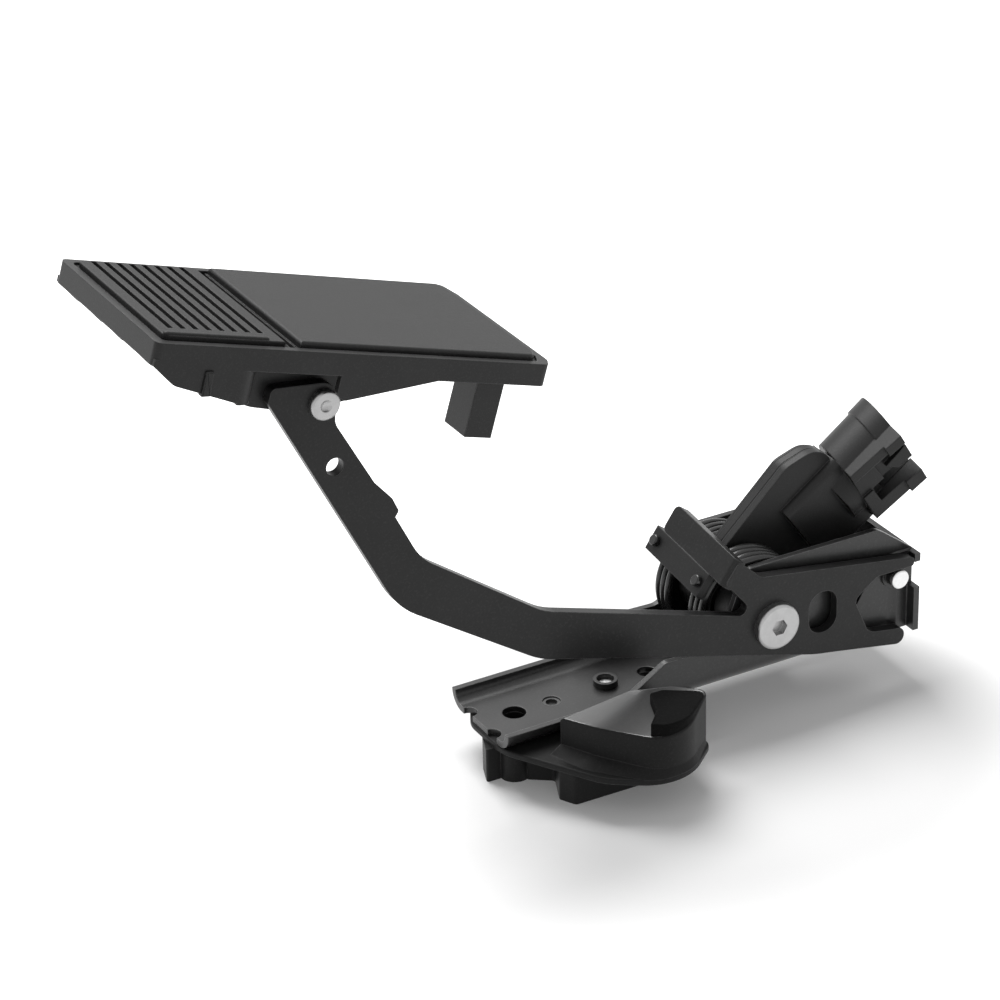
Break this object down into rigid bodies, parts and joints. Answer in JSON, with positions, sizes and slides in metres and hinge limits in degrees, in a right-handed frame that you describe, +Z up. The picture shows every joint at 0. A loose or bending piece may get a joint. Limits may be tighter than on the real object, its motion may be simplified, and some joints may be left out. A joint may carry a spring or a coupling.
{
  "type": "accelerator pedal",
  "caption": "Floor-standing accelerator pedal: a ribbed treadle on a cranked plate arm, sprung in a channel bracket with a position sensor, on a moulded foot.",
  "frame": {"origin": "on the mounting face (underside of the foot), midway between the two mounting bolts", "axes": "+Z up from the mounting face; +X from the treadle's toe end to the sensor's plug, along the two bolts; +Y from the arm's side to the far ear"},
  "size_m": [0.3961, 0.1266, 0.2719],
  "materials": {
    "black_painted_steel": "semi-gloss black paint",
    "black_foot_plastic": "satin moulded",
    "black_housing_plastic": "satin moulded, fine grain",
    "pad_plastic": "grained moulded",
    "pad_rubber": "fine grained tread",
    "zinc_steel": "satin zinc",
    "spring_steel": "black coated",
    "bush_plastic": "plain bearing plastic",
    "terminal_metal": "tinned"
  },
  "bodies": {
    "base": {"mounting_foot": "black_foot_plastic", "mounting_bracket": "black_painted_steel", "foot_rivet": "zinc_steel", "foot_eyelet": "black_painted_steel", "near_bush": "bush_plastic", "far_bush": "bush_plastic", "stop_pin": "zinc_steel", "sensor_housing": "black_housing_plastic", "sensor_lid": "black_housing_plastic", "connector_terminals": "terminal_metal"},
    "arm": {"pedal_arm": "black_painted_steel", "pivot_bolt": "zinc_steel", "pivot_nut": "zinc_steel", "pivot_sleeve": "zinc_steel", "near_spring_drum": "bush_plastic", "far_spring_drum": "bush_plastic", "near_spring": "spring_steel", "far_spring": "spring_steel", "spring_bar": "black_housing_plastic", "bar_screws": "spring_steel", "pad_rivet": "zinc_steel", "pad_spring": "spring_steel"},
    "treadle": {"pad_carrier": "pad_plastic", "pad_cover": "pad_rubber", "pad_bush": "bush_plastic"}
  },
  "joints": [
    {"name": "pedal_press", "type": "hinge", "parent": "base", "child": "arm", "pos_m": [0.0835, 0, 0.0495], "axis": [0, -1, 0], "range_deg": [0, 15.5], "stiffness_Nm_per_rad": 6, "springref_deg": -51.57, "deforming": ["near_spring", "far_spring"]},
    {"name": "treadle_tilt", "type": "hinge", "parent": "arm", "child": "treadle", "pos_m": [-0.1375, 0, 0.2182], "axis": [0, -1, 0], "range_deg": [0, 8], "stiffness_Nm_per_rad": 1.2, "springref_deg": -28.65, "deforming": ["pad_spring"]}
  ]
}
